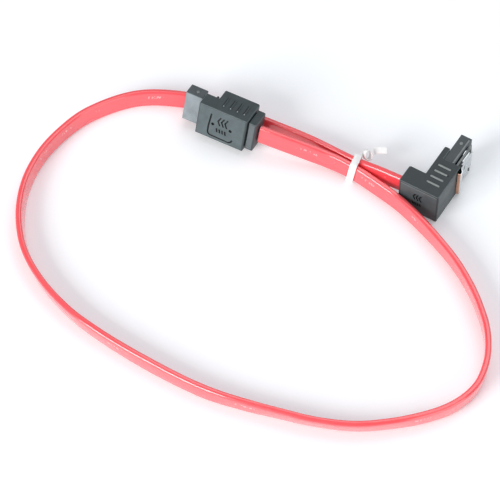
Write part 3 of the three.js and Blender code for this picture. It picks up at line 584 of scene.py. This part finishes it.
def plug_materials():
    """The plastics of the plugs, all from a few colours; lighter and darker copies of one colour paint light
    and shade onto chosen faces.
    """
    plugs = bpy.context.scene.plug_settings
    return {
        "body": moulded_plastic("Moulded black plastic", plugs.plastic, 0.42, 0.56),
        # Rims: a lighter copy of the plastic, a painted highlight along the edges.
        "painted_highlight": pale_highlight_plastic("Painted highlight on rims", shade(plugs.plastic, 2.1)),
        # Ribs, the step's sliver and a small peg: pale plastic as a painted highlight.
        "ribs": pale_highlight_plastic("Pale plastic with painted highlight", plugs.painted_highlight),
        "rail": pale_highlight_plastic("Pale rail plastic", shade(plugs.painted_highlight, 0.8)),
        # A darker copy of the same plastic, painted shade on the right-angle plug's overmould.
        "painted_shade_body": moulded_plastic("Black plastic with painted shade", shade(plugs.plastic, 0.58), 0.42, 0.56),
        # A lighter copy of the same plastic, painted light on the right-angle plug's front and right faces.
        "side": moulded_plastic("Side faces with painted light", shade(plugs.plastic, 1.25), 0.36, 0.5, 0.15),
        # A darker copy of the housing's colour, painted shade on the straight plug's housing.
        "top": moulded_plastic("Housing with painted shade", shade(plugs.shell_face, 0.66), 0.34, 0.46, 0.08),
        # A much lighter copy of the housing's colour, painted light on the housing's front face.
        "pale": moulded_plastic("Housing face with painted light", shade(plugs.shell_face, 2.3), 0.28, 0.4, 0.08),
        # A lighter copy of the plastic, painted light on the straight plug's wide face.
        "front": moulded_plastic("Overmould face with painted light", shade(plugs.plastic, 1.95), 0.34, 0.48, 0.15),
        # Painted glints: bright dots at the ribs' front ends.
        "painted_rib_glints": pale_highlight_plastic("Painted glints on rib ends", shade(plugs.painted_highlight, 1.4)),
        # Near black, painted shade in grooves, holes, slots and gaps, and on a few dark ledges and pegs.
        "shade": plain_plastic("Painted shade in recesses", (0.010, 0.011, 0.012)),
        "shell": moulded_plastic("Smooth housing plastic", plugs.shell, 0.34, 0.46, 0.08),
        # The housing's colour, painted light on the collar's front face.
        "face": moulded_plastic("Collar face with painted light", plugs.shell_face, 0.28, 0.4, 0.08),
    }


# Sizes of the plugs, in millimetres

SHELL_WIDTH = 14.02
SLOT_WIDTH = 10.82
SLOT_DEPTH = 6.4
KEY_LEG_WIDTH = 1.4
CONTACT_FRONT, CONTACT_BACK = 1.05, 1.95
CONTACT_HEIGHTS = [(i - 3) * 1.27 for i in range(7)]
CHANNEL_HALF = 0.45
OVERMOULD_WIDTH = 15.52
# The small rim of the raised face plates, which stand out a little from the plastic round them; their lighter
# plastic is painted light.
FACE_RIM = 0.03

# Straight plug: outlines as (x, y) with a radius for each corner, and lines on the front as (x, z).
STRAIGHT_SHELL_LENGTH, STRAIGHT_SHELL_THICKNESS = 7.25, 5.5
STRAIGHT_SEAT_END, STRAIGHT_SEAT_THICKNESS = 13.55, 2.5
STRAIGHT_FRONT = -3.6
STRAIGHT_OUTLINE = [(7.55, -3.6), (28.35, -3.6), (28.35, 9.0), (13.05, 9.0), (13.05, 3.25), (7.55, 3.25)]
STRAIGHT_CORNERS = [0.35, 0.6, 1.0, 0.6, 0.3, 0.5]
COLLAR_WIDTH = 13.4
COLLAR_OUTLINE = [(28.7, -2.4), (32.0, -2.4), (32.0, 6.85), (28.7, 6.85)]
COLLAR_CORNERS = [0.3, 0.6, 0.8, 0.3]
STRAIGHT_RIB_LINES = [16.5 + 3 * k for k in range(4)]
PANEL_LINE = [
    (13.65, 4.8), (13.1, -1.8), (13.1, -4.5), (13.35, -5.2), (14.0, -5.65),
    (21.9, -5.85), (22.7, -5.3), (23.2, -4.2),
]
PANEL_DOTS = [(14.4, 0.0), (22.05, -0.15)]

# Right-angle plug: its shell stands across the base, with its tip at ANGLED_TIP and its front at ANGLED_ARM.
ANGLED_TIP, ANGLED_ARM = 32.5, 9.4
ANGLED_SHELL_LENGTH, ANGLED_SHELL_THICKNESS = 18.4, 4.8
ANGLED_OUTLINE = [
    (0, 0), (17.1, 0), (17.1, 17.8), (9.4, 17.8), (9.4, 23.5), (7.1, 23.5), (7.1, 8.1), (0, 8.1),
]
ANGLED_CORNERS = [0.4, 0.5, 0.5, 0.2, 0.3, 0.7, 0.3, 0.8]
ANGLED_RIB_LINES = [5.0, 8.05, 11.15, 14.2]
RAIL_BACK = 5.5
RAIL_HEAD = [(2.3, RAIL_BACK), (4.7, RAIL_BACK), (4.7, 7.1), (2.3, 5.9)]


def shell_tools(length):
    """The keyed tongue slot and the channels of the contacts, as shapes to cut away."""
    half = SLOT_WIDTH / 2
    tools = [
        block((-1, 1.6, -half), (SLOT_DEPTH, 3.2, half)),
        block((-1, 1.9, half - KEY_LEG_WIDTH), (SLOT_DEPTH, 4.2, half)),
    ]
    for height in CONTACT_HEIGHTS:
        low, high = height - CHANNEL_HALF, height + CHANNEL_HALF
        tools.append(block((0.5, CONTACT_FRONT, low), (length - 1.0, CONTACT_BACK, high)))
    return merge_shapes(tools)


def finish_shell(piece, additions, place, thickness, length, materials):
    """Adds shapes and the side bump to a shell, and cuts its slot."""
    tools = []
    for shape, finish in additions:
        tools.append((place_piece(shape, "shell_tool", place, [materials[finish]]), "UNION"))
    bump = peg(0.7, 0.6, (4.1, thickness / 2 - 0.2, SHELL_WIDTH / 2))
    round_edges(bump, [e for e in bump.edges if all(v.co.z > SHELL_WIDTH / 2 for v in e.verts)], 0.2, 2)
    tools.append((place_piece(bump, "bump_tool", place, [materials["rail"]]), "UNION"))
    # The slot's walls take the near-black painted shade.
    slot = place_piece(shell_tools(length), "slot_tool", place, [materials["shade"]])
    tools.append((slot, "DIFFERENCE"))
    combine(piece, tools)


def shell_plate(length, thickness):
    """The plain block of a shell, with its rims in the second material, a painted highlight."""
    points = [(0, 0), (length, 0), (length, thickness), (0, thickness)]
    return plate(points, SHELL_WIDTH, 0.25, 0.2, 1)


def pocket(start, end, back):
    """The space of a shell inside its overmould."""
    gap = 0.03
    half = SHELL_WIDTH / 2 + gap
    return block((start, -gap, -half), (end, back + gap, half))


def insertion_mark(x, z, front, size):
    """A generic mark: chevrons that point to the mating face, and short bars below them."""
    lines = []
    for k in range(3):
        start = x + k * size * 0.75
        lines.append([(start + size * 0.5, z + size), (start, z), (start + size * 0.5, z - size)])
    for k in range(4):
        left = x - size * 0.1 + k * size * 0.6
        low = z - size * 1.9
        lines.append([(left, low), (left + size * 0.2, low - size * 0.95)])
    return [face_line(line, front, 0.65, 0.4) for line in lines]


def face_line(line, front, width, depth):
    """A groove tool along a line of (x, z) points on the face y = front."""
    bm = bent_sheet(line, depth * 2, width)
    bmesh.ops.rotate(bm, cent=(0, 0, 0), matrix=Matrix.Rotation(math.pi / 2, 3, "X"), verts=bm.verts)
    bmesh.ops.translate(bm, vec=(0, front, 0), verts=bm.verts)
    return bm


class CABLE_OT_lay_sheath(bpy.types.Operator):
    """Lays the flat cable along its route"""
    bl_idname = "cable.lay_sheath"
    bl_label = "Lay flat cable"

    def execute(self, context):
        settings = context.scene.sheath_settings
        section = rounded_section(settings.thickness, settings.width, settings.corner, 5)
        frames = stations(smooth_line(ROUTE, 0.0014))
        bm = sweep(section, frames, "sheath")
        material = sheath_plastic("Red sheath", settings.colour)
        piece = place_piece(bm, "flat_cable", Matrix.Identity(4), [material], 50, False)
        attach(piece, "cable")
        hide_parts("cable_jacket")
        return {"FINISHED"}


class CABLE_OT_mould_straight_plug(bpy.types.Operator):
    """Makes the straight plug's shell and its overmould"""
    bl_idname = "cable.mould_straight_plug"
    bl_label = "Mould straight plug"

    def execute(self, context):
        settings = context.scene.plug_settings
        use = plug_materials()
        rim = settings.rim / MM
        place = STRAIGHT_PLACE

        shell = shell_plate(STRAIGHT_SHELL_LENGTH, STRAIGHT_SHELL_THICKNESS)
        # The housing is a darker copy of its colour, painted shade; its rims carry the painted highlight.
        shell = place_piece(shell, "straight_plug_housing", place, [use["top"], use["painted_highlight"]])
        half = SHELL_WIDTH / 2
        additions = [
            (block((6.9, 0, -half), (STRAIGHT_SEAT_END, STRAIGHT_SEAT_THICKNESS, half)), "shell"),
            # A raised front plate in painted light.
            (block((0.15, -0.04, -6.85), (7.1, 0.4, 6.85), FACE_RIM), "pale"),
        ]
        finish_shell(shell, additions, place, STRAIGHT_SHELL_THICKNESS, STRAIGHT_SEAT_END, use)
        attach(shell, "cable")
        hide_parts("straight_shell")

        body = plate(STRAIGHT_OUTLINE, OVERMOULD_WIDTH, STRAIGHT_CORNERS, rim, 1)
        # The overmould's rims carry the painted highlight.
        body = place_piece(body, "straight_plug_overmould", place, [use["body"], use["painted_highlight"]])
        collar = plate(COLLAR_OUTLINE, COLLAR_WIDTH, COLLAR_CORNERS, rim, 1)
        collar = place_piece(collar, "collar_tool", place, [use["body"], use["painted_highlight"]])
        # The neck is near black, painted shade in the groove between body and collar.
        neck = place_piece(block((27.6, -1.4, -5.7), (29.4, 5.85, 5.7)), "neck_tool", place, [use["shade"]])
        tools = [(collar, "UNION"), (neck, "UNION")]
        # Raised plates in painted light on the wide face and on the collar's front.
        for name, finish, face in (
            ("face_tool", "front", block((7.95, -3.63, -7.3), (27.7, -3.3, 7.3), FACE_RIM)),
            ("collar_face_tool", "face", block((29.05, -2.43, -6.25), (31.35, -2.1, 6.25), FACE_RIM)),
        ):
            tools.append((place_piece(face, name, place, [use[finish]]), "UNION"))
        height = settings.rib_height / MM
        top = OVERMOULD_WIDTH / 2
        for name, finish, shapes in (
            ("rib_tool", "body", [rib(6.1, 0.7, height, (x, 2.4, top), False) for x in STRAIGHT_RIB_LINES]),
            # Small pegs at the ribs' front ends, bright as painted glints.
            ("rib_glint_tool", "painted_rib_glints", [peg(0.26, 0.3, (x, -0.4, top + height)) for x in STRAIGHT_RIB_LINES]),
            # A small nub, near black in the painted shade colour.
            ("nub_tool", "shade", [peg(0.5, 1.3, (12.2, 3.4, 7.2), "Y")]),
        ):
            tools.append((place_piece(merge_shapes(shapes), name, place, [use[finish]]), "UNION"))
        # The pocket's walls take the painted shade.
        hollow = place_piece(pocket(6, 13.85, STRAIGHT_SEAT_THICKNESS), "pocket_tool", place, [use["shade"]])
        tools.append((hollow, "DIFFERENCE"))
        depth = settings.groove_depth / MM
        # Grooves and holes lined with painted shade: the panel line, the mark and the two dots.
        grooves = [face_line(PANEL_LINE, STRAIGHT_FRONT, 0.7, depth + 0.1)]
        grooves += insertion_mark(16.8, 2.4, STRAIGHT_FRONT, 2.0)
        for x, z in PANEL_DOTS:
            grooves.append(peg(0.68, 1.2, (x, STRAIGHT_FRONT, z), "Y"))
        # Thin grooves on one side of each rib, lined with painted shadow.
        grooves.append(merge_shapes([
            block((x - 0.7, -0.3, top - 0.2), (x - 0.4, 5.4, top + 1)) for x in STRAIGHT_RIB_LINES
        ]))
        for k, groove in enumerate(grooves):
            tool = place_piece(groove, f"groove_tool_{k}", place, [use["shade"]])
            tools.append((tool, "DIFFERENCE"))
        combine(body, tools)
        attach(body, "cable")
        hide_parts("straight_overmould")
        return {"FINISHED"}


class CABLE_OT_mould_angled_plug(bpy.types.Operator):
    """Makes the right-angle plug's shell with its rail, and its overmould"""
    bl_idname = "cable.mould_angled_plug"
    bl_label = "Mould right-angle plug"

    def execute(self, context):
        settings = context.scene.plug_settings
        use = plug_materials()
        rim = settings.rim / MM
        place = ANGLED_PLACE
        across = Matrix.Rotation(-math.pi / 2, 4, "Z")
        inner = place @ Matrix.Translation((ANGLED_ARM, ANGLED_TIP, 0)) @ across

        length = ANGLED_SHELL_LENGTH
        shell = shell_plate(length, ANGLED_SHELL_THICKNESS)
        # The housing's rims carry the painted highlight.
        shell = place_piece(shell, "angled_plug_housing", inner, [use["shell"], use["painted_highlight"]])
        edge = SHELL_WIDTH / 2 - 0.2
        additions = [
            (plate(RAIL_HEAD, 2 * edge, 0, 0.12), "rail"),
            (block((5.55, RAIL_BACK, -edge), (length, 6.3, edge + 0.15), 0.1), "rail"),
        ] + [
            (block((4.6, 5.52, low + 0.05), (5.7, 6.28, high + 0.12)), "rail")
            for low, high in ((-edge, 1.0 - edge), (edge - 1.0, edge))
        ] + [
            # Two near-black ledges beside the latch, painted shade where the gap behind the latch's tail is
            # in shadow.
            (block((11.4, 6.3, edge - 0.4), (14.6, 7.05, edge + 0.05)), "shade"),
            (block((12.9, 6.9, edge - 0.4), (14.4, 7.75, edge + 0.05)), "shade"),
            (block((14.7, 2.4, -edge), (length, 6.25, edge)), "shell"),
            (block((1.1, 3.75, 6), (13.3, 4.4, SHELL_WIDTH / 2 + 0.1), 0.08), "rail"),
            (peg(0.35, 2.2, (13.8, 4.05, 6)), "ribs"),
        ]
        finish_shell(shell, additions, inner, ANGLED_SHELL_THICKNESS, length, use)
        notch = block((2.2, 5.65, -4.9), (4.72, 7.3, 4.9))
        notch = place_piece(notch, "notch_tool", inner, [use["rail"]])
        combine(shell, [(notch, "DIFFERENCE")])
        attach(shell, "cable")
        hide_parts("angled_shell")

        body = plate(ANGLED_OUTLINE, OVERMOULD_WIDTH, ANGLED_CORNERS, rim, 1)
        # The overmould is a darker copy of the plastic, painted shade; its rims carry the painted highlight.
        body = place_piece(body, "angled_plug_overmould", place, [use["painted_shade_body"], use["painted_highlight"]])
        height = settings.rib_height / MM
        top = OVERMOULD_WIDTH / 2
        bars = merge_shapes([rib(5.6, 0.75, height, (12.0, y, top), True) for y in ANGLED_RIB_LINES])
        # Raised plates on the front and right faces, in painted light.
        faces = merge_shapes([
            block((0.8, -0.03, -7.3), (16.6, 0.3, 6.5), FACE_RIM),
            block((16.8, 0.75, -7.3), (17.13, 15.3, 7.3), FACE_RIM),
        ])
        tools = []
        for name, finish, shape, where, operation in (
            # The ribs are pale, a painted highlight on their tops.
            ("rib_tool", "ribs", bars, place, "UNION"),
            # A thin pale bar along the front face's upper rim, a painted highlight.
            ("rim_highlight_tool", "rail", block((0.8, -0.05, 6.6), (16.4, 0.5, 6.85)), place, "UNION"),
            ("pocket_tool", "painted_shade_body", pocket(9.0, 18.7, 6.3), inner, "DIFFERENCE"),
            # A pale sliver on the step between arm and housing, painted light over the step's shade.
            ("step_light_tool", "ribs", block((9.25, 17.95, 7.1), (9.44, 23.2, 7.6)), place, "UNION"),
            ("face_tool", "side", faces, place, "UNION"),
        ):
            tools.append((place_piece(shape, name, where, [use[finish]]), operation))
        # The mark's grooves, the recess and the small hole below are lined with painted shade.
        grooves = insertion_mark(6.9, 1.9, 0, 1.7)
        # The recess in the base's side wall stands for the shadow in the gap behind the latch's tail.
        grooves.append(block((16.9, 15.6, -6.4), (17.5, 17.9, 7.3)))
        grooves.append(peg(0.3, 0.5, (15.1, 11.2, top)))
        for k, groove in enumerate(grooves):
            tool = place_piece(groove, f"groove_tool_{k}", place, [use["shade"]])
            tools.append((tool, "DIFFERENCE"))
        combine(body, tools)
        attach(body, "cable")
        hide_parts("angled_overmould")
        return {"FINISHED"}


# The latch's strip as (x, y) in the right-angle plug's space, and where its coppery lip starts.
LATCH_WIDTH = 12.6
LATCH_LIP = 15.55
LATCH_LINE = [
    (14.55, 24.4), (14.55, 27.125), (14.8, 27.375), (15.875, 27.375), (16.125, 27.125), (16.125, 24.0),
    (16.125, 21.0), (16.15, 20.2), (16.375, 19.1), (17.525, 18.2), (18.525, 16.9), (18.525, 15.5),
    (17.42, 15.05),
]


class CABLE_OT_bend_latch(bpy.types.Operator):
    """Bends the spring latch of the right-angle plug from one strip"""
    bl_idname = "cable.bend_latch"
    bl_label = "Bend spring latch"

    def execute(self, context):
        settings = context.scene.latch_settings
        thickness = settings.thickness / MM
        line = [place[:2] for place, in smooth_line([(x, y, 0) for x, y in LATCH_LINE], 0.3)]
        bm = bent_sheet(line, LATCH_WIDTH, thickness)
        steel = spring_steel("Bright spring steel", settings.colour)
        lip = spring_steel("Coppery lip", settings.lip)
        for face in bm.faces:
            face.material_index = int(face.calc_center_median().y < LATCH_LIP)
        strip = place_piece(bm, "latch_strip", ANGLED_PLACE, [steel, lip])
        tongue = block((16.0, 26.6, -4.7), (16.25, 29.4, 4.7), 0.05)
        tongue = place_piece(tongue, "tongue", ANGLED_PLACE, [steel])
        gaps = merge_shapes([
            block((15.9, 23.2, -1.3), (18.0, 24.2, 1.3)),
            block((14.0, 26.95, -7), (17.0, 28.0, -5.5)),
            block((14.0, 26.95, 5.5), (17.0, 28.0, 7)),
        ])
        gaps = place_piece(gaps, "gap_tool", ANGLED_PLACE, [steel])
        combine(strip, [(tongue, "UNION"), (gaps, "DIFFERENCE")], 50)
        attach(strip, "latch")
        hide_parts("latch_spring")
        return {"FINISHED"}


# The band's inside, round the two strands, in millimetres.
BAND_WIDTH, BAND_HEIGHT, BAND_CORNER = 7.5, 9.9, 1.0
# The flat tail: x, y and height in metres, and the angle that the strip has turned by.
TIE_TAIL = [
    (0.0183, 0.0010, 0.0083, 600), (0.0200, 0.0011, 0.0084, 605), (0.0234, 0.0010, 0.0083, 608),
]
# The curl between the band and the tail: its middle and half sizes in metres, the way it faces, the angles
# where it starts and ends, how many steps it has, and how far it moves forward from start to end.
CURL_MIDDLE = (0.0158, -0.0011, 0.0083)
CURL_FACING = (0.42, -0.80, 0.62)
CURL_HALF_WIDTH, CURL_HALF_HEIGHT = 0.0016, 0.0020
CURL_START, CURL_END = 215, -150
CURL_STEPS = 40
CURL_TRAVEL = 0.0006


def strip_section(width, thickness):
    """The strip's section: flat, with a low ridge over the wire in its middle."""
    half, flat, ridge = width / 2, thickness / 2, thickness * 0.65
    side = [(flat * 0.5, -half), (flat, -half * 0.9), (flat, -half * 0.28), (ridge, -half * 0.12)]
    back = [(-y, z) for y, z in reversed(side)]
    right = side + [(y, -z) for y, z in reversed(side)]
    return right + [(-y, z) for y, z in reversed(right)]


class CABLE_OT_wind_tie(bpy.types.Operator):
    """Winds the twist tie round the two strands and twists its ends"""
    bl_idname = "cable.wind_tie"
    bl_label = "Wind twist tie"

    def execute(self, context):
        settings = context.scene.tie_settings
        width, thickness = settings.width / MM, settings.thickness / MM
        coating = coated_strip("White coated strip", settings.colour)
        section = strip_section(width, thickness)

        ring = rounded_section(BAND_WIDTH, BAND_HEIGHT, BAND_CORNER, 6)
        frames = []
        for i, point in enumerate(ring):
            ahead = ring[(i + 1) % len(ring)] - ring[i - 1]
            forward = Vector((0, ahead.x, ahead.y)).normalized()
            across = Vector((1, 0, 0))
            out = forward.cross(across)
            turn = Matrix((forward, out, across)).transposed().to_4x4()
            frames.append(Matrix.Translation((0, point.x, point.y)) @ turn)
        band = place_piece(sweep(section, frames, closed=True), "tie_band", TIE_PLACE, [coating], 40, False)

        facing = Vector(CURL_FACING).normalized()
        right = Vector((0, 0, 1)).cross(facing).normalized()
        rise = facing.cross(right)
        curl = []
        for k in range(CURL_STEPS + 1):
            angle = math.radians(CURL_START + (CURL_END - CURL_START) * k / CURL_STEPS)
            reach = right * CURL_HALF_WIDTH * math.cos(angle) + rise * CURL_HALF_HEIGHT * math.sin(angle)
            ahead = right * CURL_HALF_WIDTH * math.sin(angle) - rise * CURL_HALF_HEIGHT * math.cos(angle)
            ahead.normalize()
            turn = Matrix((ahead, facing.cross(ahead), facing)).transposed().to_4x4()
            middle = Vector(CURL_MIDDLE) + facing * (CURL_TRAVEL / 2 - CURL_TRAVEL * k / CURL_STEPS)
            curl.append(Matrix.Translation(middle + reach) @ turn @ Matrix.Scale(MM, 4))
        knot = place_piece(sweep(section, curl), "tie_knot", Matrix.Identity(4), [coating], 60, False)
        tail = [at @ Matrix.Scale(MM, 4) for at in stations(smooth_line(TIE_TAIL, 0.0004))]
        section = rounded_section(thickness * 1.4, width, 0.15, 3)
        tail = place_piece(sweep(section, tail), "tie_tail", Matrix.Identity(4), [coating], 60, False)
        for piece in (band, knot, tail):
            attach(piece, "cable")
            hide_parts("twist_tie")
        return {"FINISHED"}


class CABLE_OT_finish_inner_parts(bpy.types.Operator):
    """Gives the contacts, wires and inner mouldings their finishes"""
    bl_idname = "cable.finish_inner_parts"
    bl_label = "Finish inner parts"

    def execute(self, context):
        finishes = {
            "contact": plated_metal("Gilt contact", (0.83, 0.58, 0.24), 0.2, 0.36),
            "drain_wire": plated_metal("Bare copper wire", (0.72, 0.38, 0.22), 0.3, 0.45),
            "signal_wire": plain_plastic("Wire insulation", (0.80, 0.78, 0.73)),
            "inner_mould": plain_plastic("Natural inner moulding", (0.72, 0.69, 0.60)),
        }
        slots = {part["node"]: part["material_slot"] for part in frame["record"]["subparts"]}
        for name, node in frame["nodes"].items():
            finish = finishes.get(slots[name])
            if finish is None:
                continue
            if not node.material_slots:
                node.data.materials.append(finish)
            for holder in node.material_slots:
                holder.material = finish
        return {"FINISHED"}


# The camera: the point that it looks at, its distance, its downward tilt in degrees, and its lens.
CAMERA_AIM = (-0.0302, -0.0407, 0)
CAMERA_DISTANCE = 0.92308
CAMERA_TILT = 55
CAMERA_LENS, CAMERA_SENSOR = 172.8, 36
# The lamps: name, place, side, power and colour. All point at the middle of the cable.
LAMPS = [
    ("key", (-0.95, -0.82, 0.6), 0.7, 16.5, (1.0, 0.985, 0.97)),
    ("side", (0.9, -1.0, 0.4), 0.9, 5.5, (1.0, 0.99, 0.98)),
    ("fill", (0.4, 0.5, 1.2), 1.2, 7.2, (0.94, 0.97, 1.0)),
]
LAMP_AIM = (-0.03, -0.04, 0)
ROOM_COLOUR = (0.93, 0.96, 1.0, 1)
ROOM_LIGHT = 0.35
FLOOR_LEVEL = -0.0001


class CABLE_OT_set_stage(bpy.types.Operator):
    """Sets the camera, the pale floor and the soft lamps"""
    bl_idname = "cable.set_stage"
    bl_label = "Set stage"

    def execute(self, context):
        scene = context.scene
        settings = scene.stage_settings
        tilt = math.radians(CAMERA_TILT)
        look = Vector((0, math.cos(tilt), -math.sin(tilt)))
        lens = bpy.data.cameras.new("view")
        lens.lens = CAMERA_LENS
        lens.sensor_width = CAMERA_SENSOR
        lens.clip_start, lens.clip_end = 0.05, 20
        camera = bpy.data.objects.new("view", lens)
        camera.location = Vector(CAMERA_AIM) - look * CAMERA_DISTANCE
        camera.rotation_euler = look.to_track_quat("-Z", "Y").to_euler()
        scene.collection.objects.link(camera)
        scene.camera = camera

        bm = bmesh.new()
        bmesh.ops.create_grid(bm, x_segments=2, y_segments=2, size=6)
        floor = place_piece(bm, "floor", Matrix.Translation((0, 0, FLOOR_LEVEL)), [], 30, False)
        floor.data.materials.append(floor_material("Pale floor", settings))

        for settings in LAMPS:
            lamp(*settings)
        world = bpy.data.worlds.new("soft room")
        world.use_nodes = True
        background = world.node_tree.nodes["Background"]
        background.inputs["Color"].default_value = ROOM_COLOUR
        background.inputs["Strength"].default_value = ROOM_LIGHT
        scene.world = world
        scene.view_settings.view_transform = "Standard"
        return {"FINISHED"}


def lamp(name, place, side, power, colour):
    """Hangs a soft square lamp that points at the middle of the cable."""
    data = bpy.data.lights.new(name, "AREA")
    data.shape = "RECTANGLE"
    data.size = data.size_y = side
    data.energy = power
    data.color = colour
    holder = bpy.data.objects.new(name, data)
    holder.location = place
    aim = Vector(LAMP_AIM) - Vector(place)
    holder.rotation_euler = aim.to_track_quat("-Z", "Y").to_euler()
    bpy.context.scene.collection.objects.link(holder)


def floor_material(name, settings):
    """A pale floor that keeps soft shadows and looks white to the camera and in reflections."""
    n = Nodes(name)
    cloud = n.spread(n.noise(n.place(), 3, 2), 0, 1)
    n.set(Base_Color=n.blend(cloud, settings.floor, shade(settings.floor, 1.02)), Roughness=0.7)
    n.surface.inputs["Specular IOR Level"].default_value = 0.1
    paths = n.add("ShaderNodeLightPath")
    seen = n.maths("MAXIMUM", paths.outputs["Is Camera Ray"], paths.outputs["Is Glossy Ray"])
    seen = n.maths("MAXIMUM", seen, paths.outputs["Is Transmission Ray"])
    seen = n.maths("MULTIPLY", seen, settings.lift)
    n.surface.inputs["Emission Color"].default_value = (0.96, 0.98, 1.0, 1)
    n.link(seen, n.surface.inputs["Emission Strength"])
    return n.material


class CABLE_PT_panel(bpy.types.Panel):
    """Lists the steps that build the cable"""
    bl_label = "Data Cable"
    bl_idname = "CABLE_PT_panel"
    bl_space_type = "VIEW_3D"
    bl_region_type = "UI"
    bl_category = "Data Cable"

    def draw(self, context):
        for key, group, operators in STEPS:
            box = self.layout.box()
            settings = getattr(context.scene, key, None)
            if settings:
                for name in group.__annotations__:
                    box.prop(settings, name)
            for operator in operators:
                box.operator(operator.bl_idname)


STEPS = [
    ("stage_settings", StageSettings, [CABLE_OT_set_stage]),
    ("tie_settings", TieSettings, [CABLE_OT_wind_tie]),
    ("sheath_settings", SheathSettings, [CABLE_OT_lay_sheath]),
    (
        "plug_settings", PlugSettings,
        [CABLE_OT_mould_straight_plug, CABLE_OT_mould_angled_plug, CABLE_OT_finish_inner_parts],
    ),
    ("latch_settings", LatchSettings, [CABLE_OT_bend_latch]),
]


def register():
    for key, group, operators in STEPS:
        bpy.utils.register_class(group)
        setattr(bpy.types.Scene, key, PointerProperty(type=group))
        for operator in operators:
            bpy.utils.register_class(operator)
    bpy.utils.register_class(CABLE_PT_panel)


def unregister():
    bpy.utils.unregister_class(CABLE_PT_panel)
    for key, group, operators in reversed(STEPS):
        for operator in operators:
            bpy.utils.unregister_class(operator)
        delattr(bpy.types.Scene, key)
        bpy.utils.unregister_class(group)


def main():
    register()
    bpy.ops.cable.set_stage()
    bpy.ops.cable.wind_tie()
    bpy.ops.cable.lay_sheath()
    bpy.ops.cable.mould_straight_plug()
    bpy.ops.cable.mould_angled_plug()
    bpy.ops.cable.bend_latch()
    bpy.ops.cable.finish_inner_parts()


if __name__ == "__main__":
    main()
